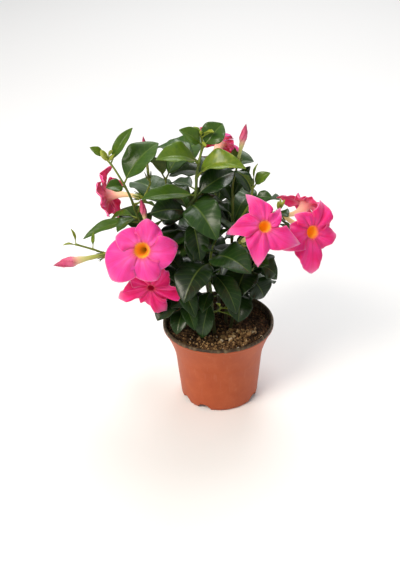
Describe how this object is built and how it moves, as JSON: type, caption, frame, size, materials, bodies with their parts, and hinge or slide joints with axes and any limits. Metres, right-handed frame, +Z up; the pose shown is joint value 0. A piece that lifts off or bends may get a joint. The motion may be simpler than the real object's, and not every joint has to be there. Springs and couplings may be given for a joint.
{
  "type": "potted mandevilla",
  "caption": "Bushy flowering vine with glossy opposite leaves, funnel-shaped pink flowers and slim buds, in a flared round nursery pot filled with potting mix.",
  "frame": {"origin": "centre of the pot's base, on the surface it stands on", "axes": "+Z up along the pot's axis, -Y towards the side with the open flowers, +X to the right seen from that side"},
  "size_m": [0.306, 0.1882, 0.3399],
  "materials": {
    "pot_plastic": "moulded terracotta-coloured plastic, satin",
    "potting_mix": "moist crumbly peat mix with coir chips, matt",
    "stems_and_leaves": "waxy green leaves on smooth green stems",
    "petals": "thin soft pink petals with a yellow-orange throat",
    "buds": "furled buds, pink above and cream-green below"
  },
  "bodies": {
    "root": {"pot": "pot_plastic", "soil": "potting_mix", "stem_tall": "stems_and_leaves", "stem_left": "stems_and_leaves", "stem_left_front": "stems_and_leaves", "stem_front": "stems_and_leaves", "stem_low_left": "stems_and_leaves", "stem_low_right": "stems_and_leaves", "stem_mid_right": "stems_and_leaves", "stem_right": "stems_and_leaves", "stem_back_left": "stems_and_leaves", "stem_back": "stems_and_leaves", "stem_back_right": "stems_and_leaves", "bloom_front": "petals", "bloom_low": "petals", "bloom_left": "petals", "bloom_back": "petals", "bloom_right": "petals", "bloom_far_right": "petals", "bloom_right_back": "petals", "bud_far_left": "buds", "bud_upright": "buds", "bud_top": "buds", "bud_striped": "buds"}
  },
  "joints": []
}
